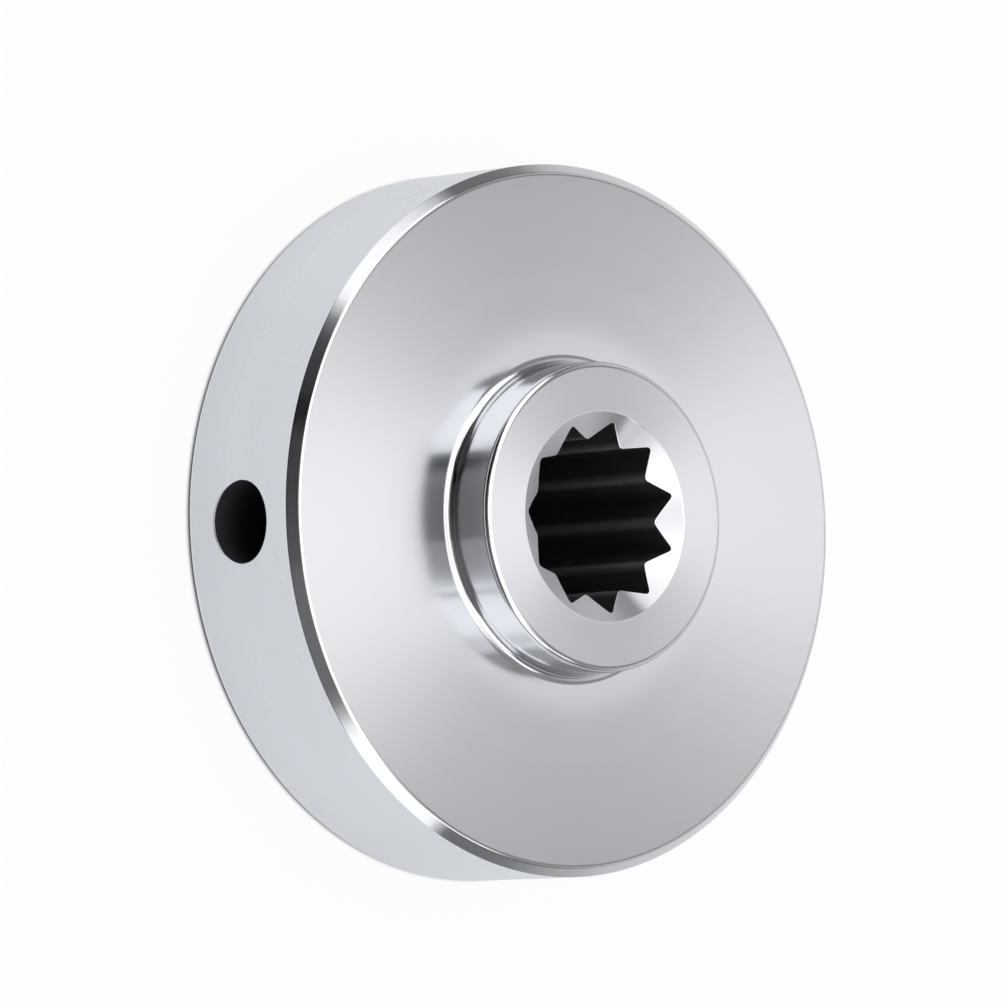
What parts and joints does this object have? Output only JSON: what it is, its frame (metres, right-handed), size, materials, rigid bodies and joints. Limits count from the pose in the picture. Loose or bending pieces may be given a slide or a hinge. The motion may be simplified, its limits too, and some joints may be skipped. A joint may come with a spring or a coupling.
{
  "type": "brush cutter nut adapter",
  "caption": "Round steel drive flange with a raised blade pilot, a serrated bore with conical mouths, and a locking hole in the rim.",
  "frame": {"origin": "centre of the back face, on the axis of the bore, at the lowest point of the part", "axes": "+Z along the bore from the back face to the blade pilot, and -Y out of the mouth of the locking hole"},
  "size_m": [0.0584, 0.0584, 0.018],
  "materials": {
    "plated_steel": "satin turned steel with bright plating, dark inside the bore and the locking hole"
  },
  "bodies": {
    "root": {"nut_adapter": "plated_steel"}
  },
  "joints": []
}
